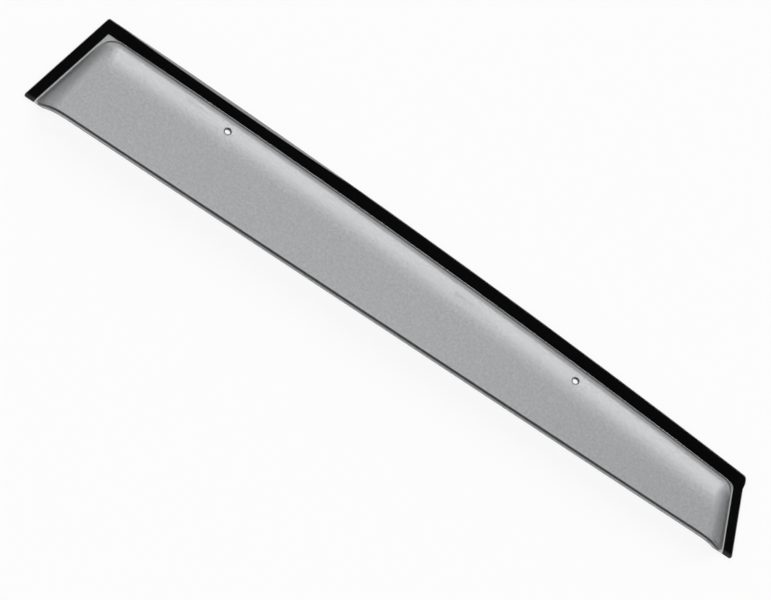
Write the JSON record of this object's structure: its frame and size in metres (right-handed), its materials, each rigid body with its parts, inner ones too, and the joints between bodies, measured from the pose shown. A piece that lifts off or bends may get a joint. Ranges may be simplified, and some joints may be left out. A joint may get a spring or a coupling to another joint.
{
  "type": "window rain deflector",
  "caption": "Car side-window rain deflector: smoke-tinted formed shell with a flat taped flange on three sides, a turned lip on its free lower edge and countersunk clip holes in the shoulder.",
  "frame": {"origin": "on the bonding plane, in the middle of the top tape", "axes": "+X along the length from the wide end to the narrow end, +Y towards the top edge, +Z out of the car"},
  "size_m": [0.7806, 0.1134, 0.0243],
  "materials": {
    "tinted_acrylic": "smoke-tinted clear sheet with a soft gloss",
    "foam_tape": "matte black closed-cell foam"
  },
  "bodies": {
    "root": {"shell": "tinted_acrylic", "top_tape": "foam_tape", "wide_end_tape": "foam_tape", "narrow_end_tape": "foam_tape"}
  },
  "joints": []
}
